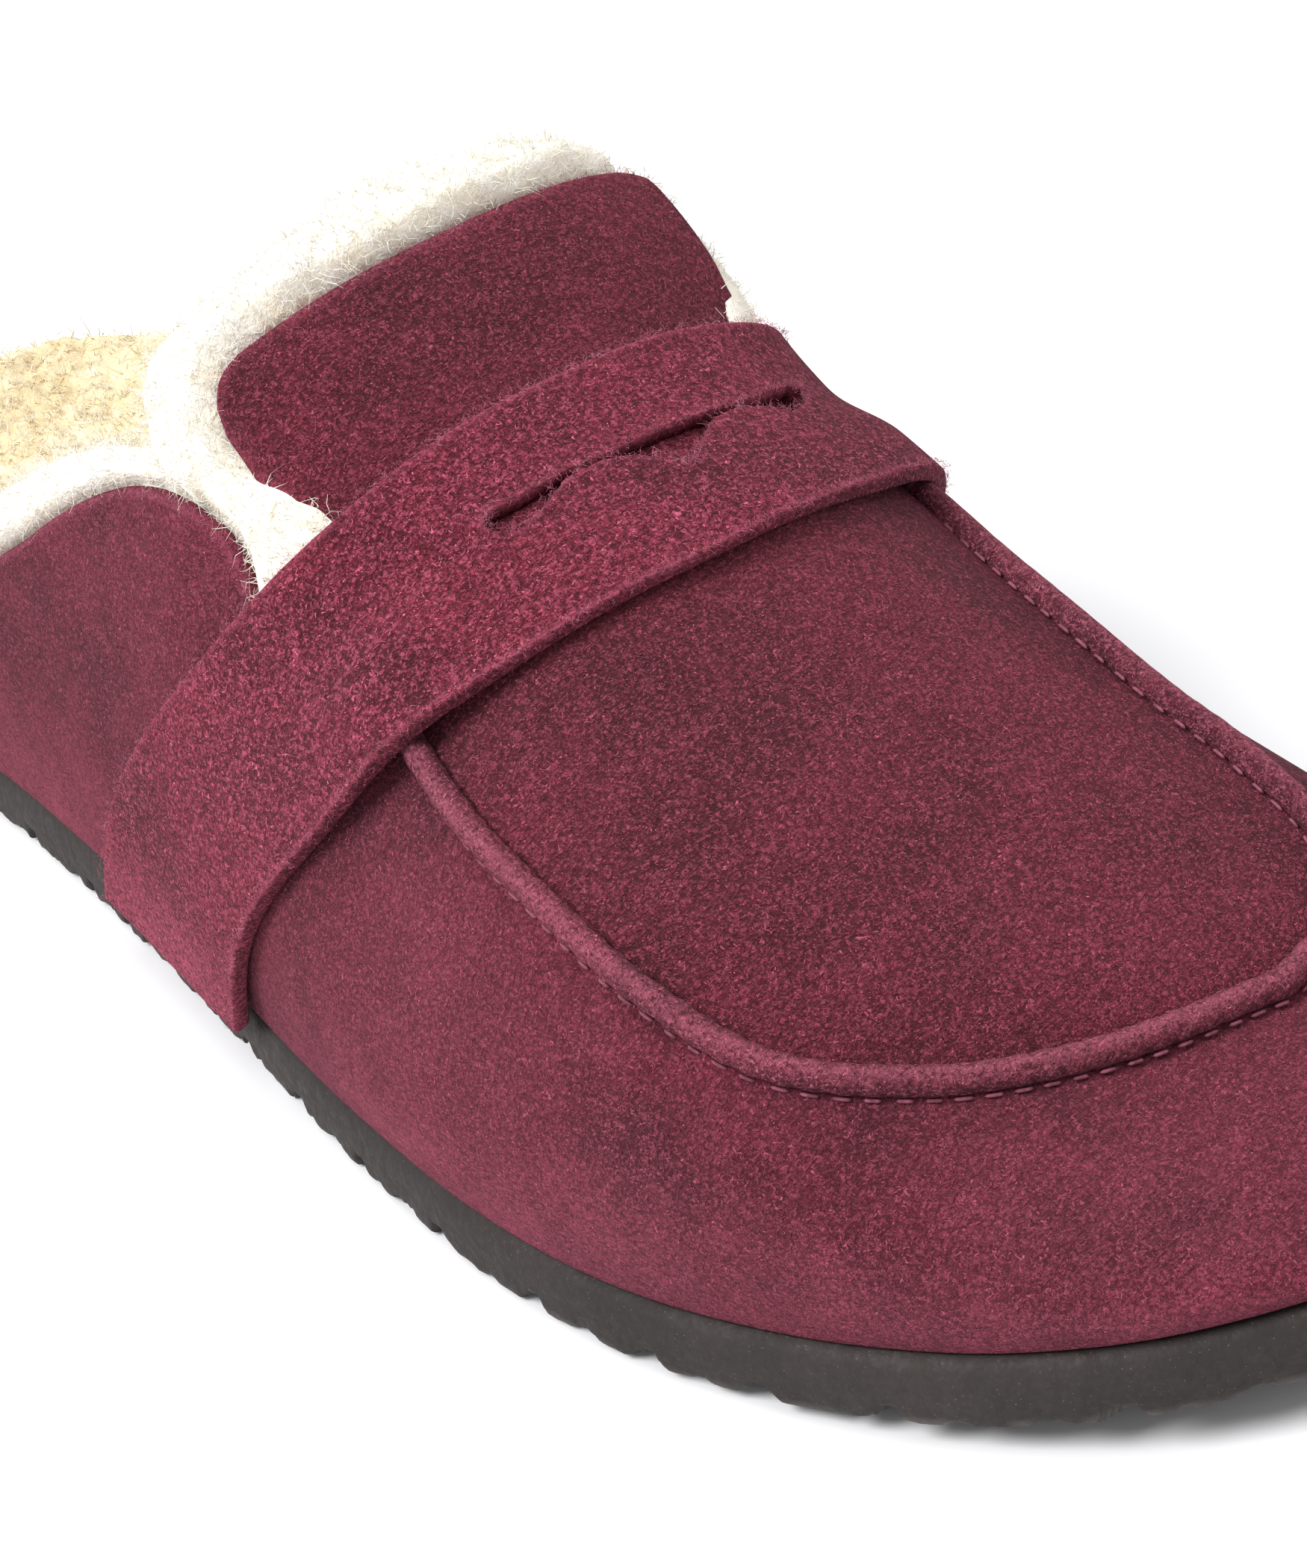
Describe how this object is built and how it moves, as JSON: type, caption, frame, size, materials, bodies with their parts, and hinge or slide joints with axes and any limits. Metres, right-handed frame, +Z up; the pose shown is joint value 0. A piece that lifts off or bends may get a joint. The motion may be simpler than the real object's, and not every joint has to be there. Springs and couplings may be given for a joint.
{
  "type": "backless penny loafer",
  "caption": "Suede slip-on penny loafer with an open heel, apron front, slotted saddle strap, shearling lining and contoured footbed on a flat foam sole.",
  "frame": {"origin": "middle of the shoe's box on the ground plane, under the sole", "axes": "+Z up, toe towards -Y, heel towards +Y, outer (lateral) side of this right shoe towards -X"},
  "size_m": [0.1078, 0.284, 0.0898],
  "materials": {
    "suede": "burgundy suede, brushed nap with lighter and darker patches, raw fuzzy edges",
    "strap_suede": "redder burgundy suede, rough nap, raw cut edges",
    "shearling": "cream curly shearling pile",
    "eva": "dark warm grey EVA foam, matt with fine pores",
    "cork": "cork and latex granules, matt",
    "jute": "woven jute",
    "thread": "waxed sewing thread, dark burgundy",
    "stiffener": "stiffened non-woven sheet"
  },
  "bodies": {
    "root": {"outsole": "eva", "jute_base": "jute", "footbed": "cork", "jute_top": "jute", "footbed_sock": "shearling", "heel_band": "suede", "vamp_wall": "suede", "plug_tongue": "suede", "toe_puff": "stiffener", "vamp_lining": "shearling", "tongue_lining": "shearling", "quarter_lateral": "suede", "quarter_lining_lateral": "shearling", "quarter_medial": "suede", "quarter_lining_medial": "shearling", "penny_strap": "strap_suede", "apron_ridge": "suede", "ridge_cord": "thread", "seam_thread": "thread"}
  },
  "joints": []
}
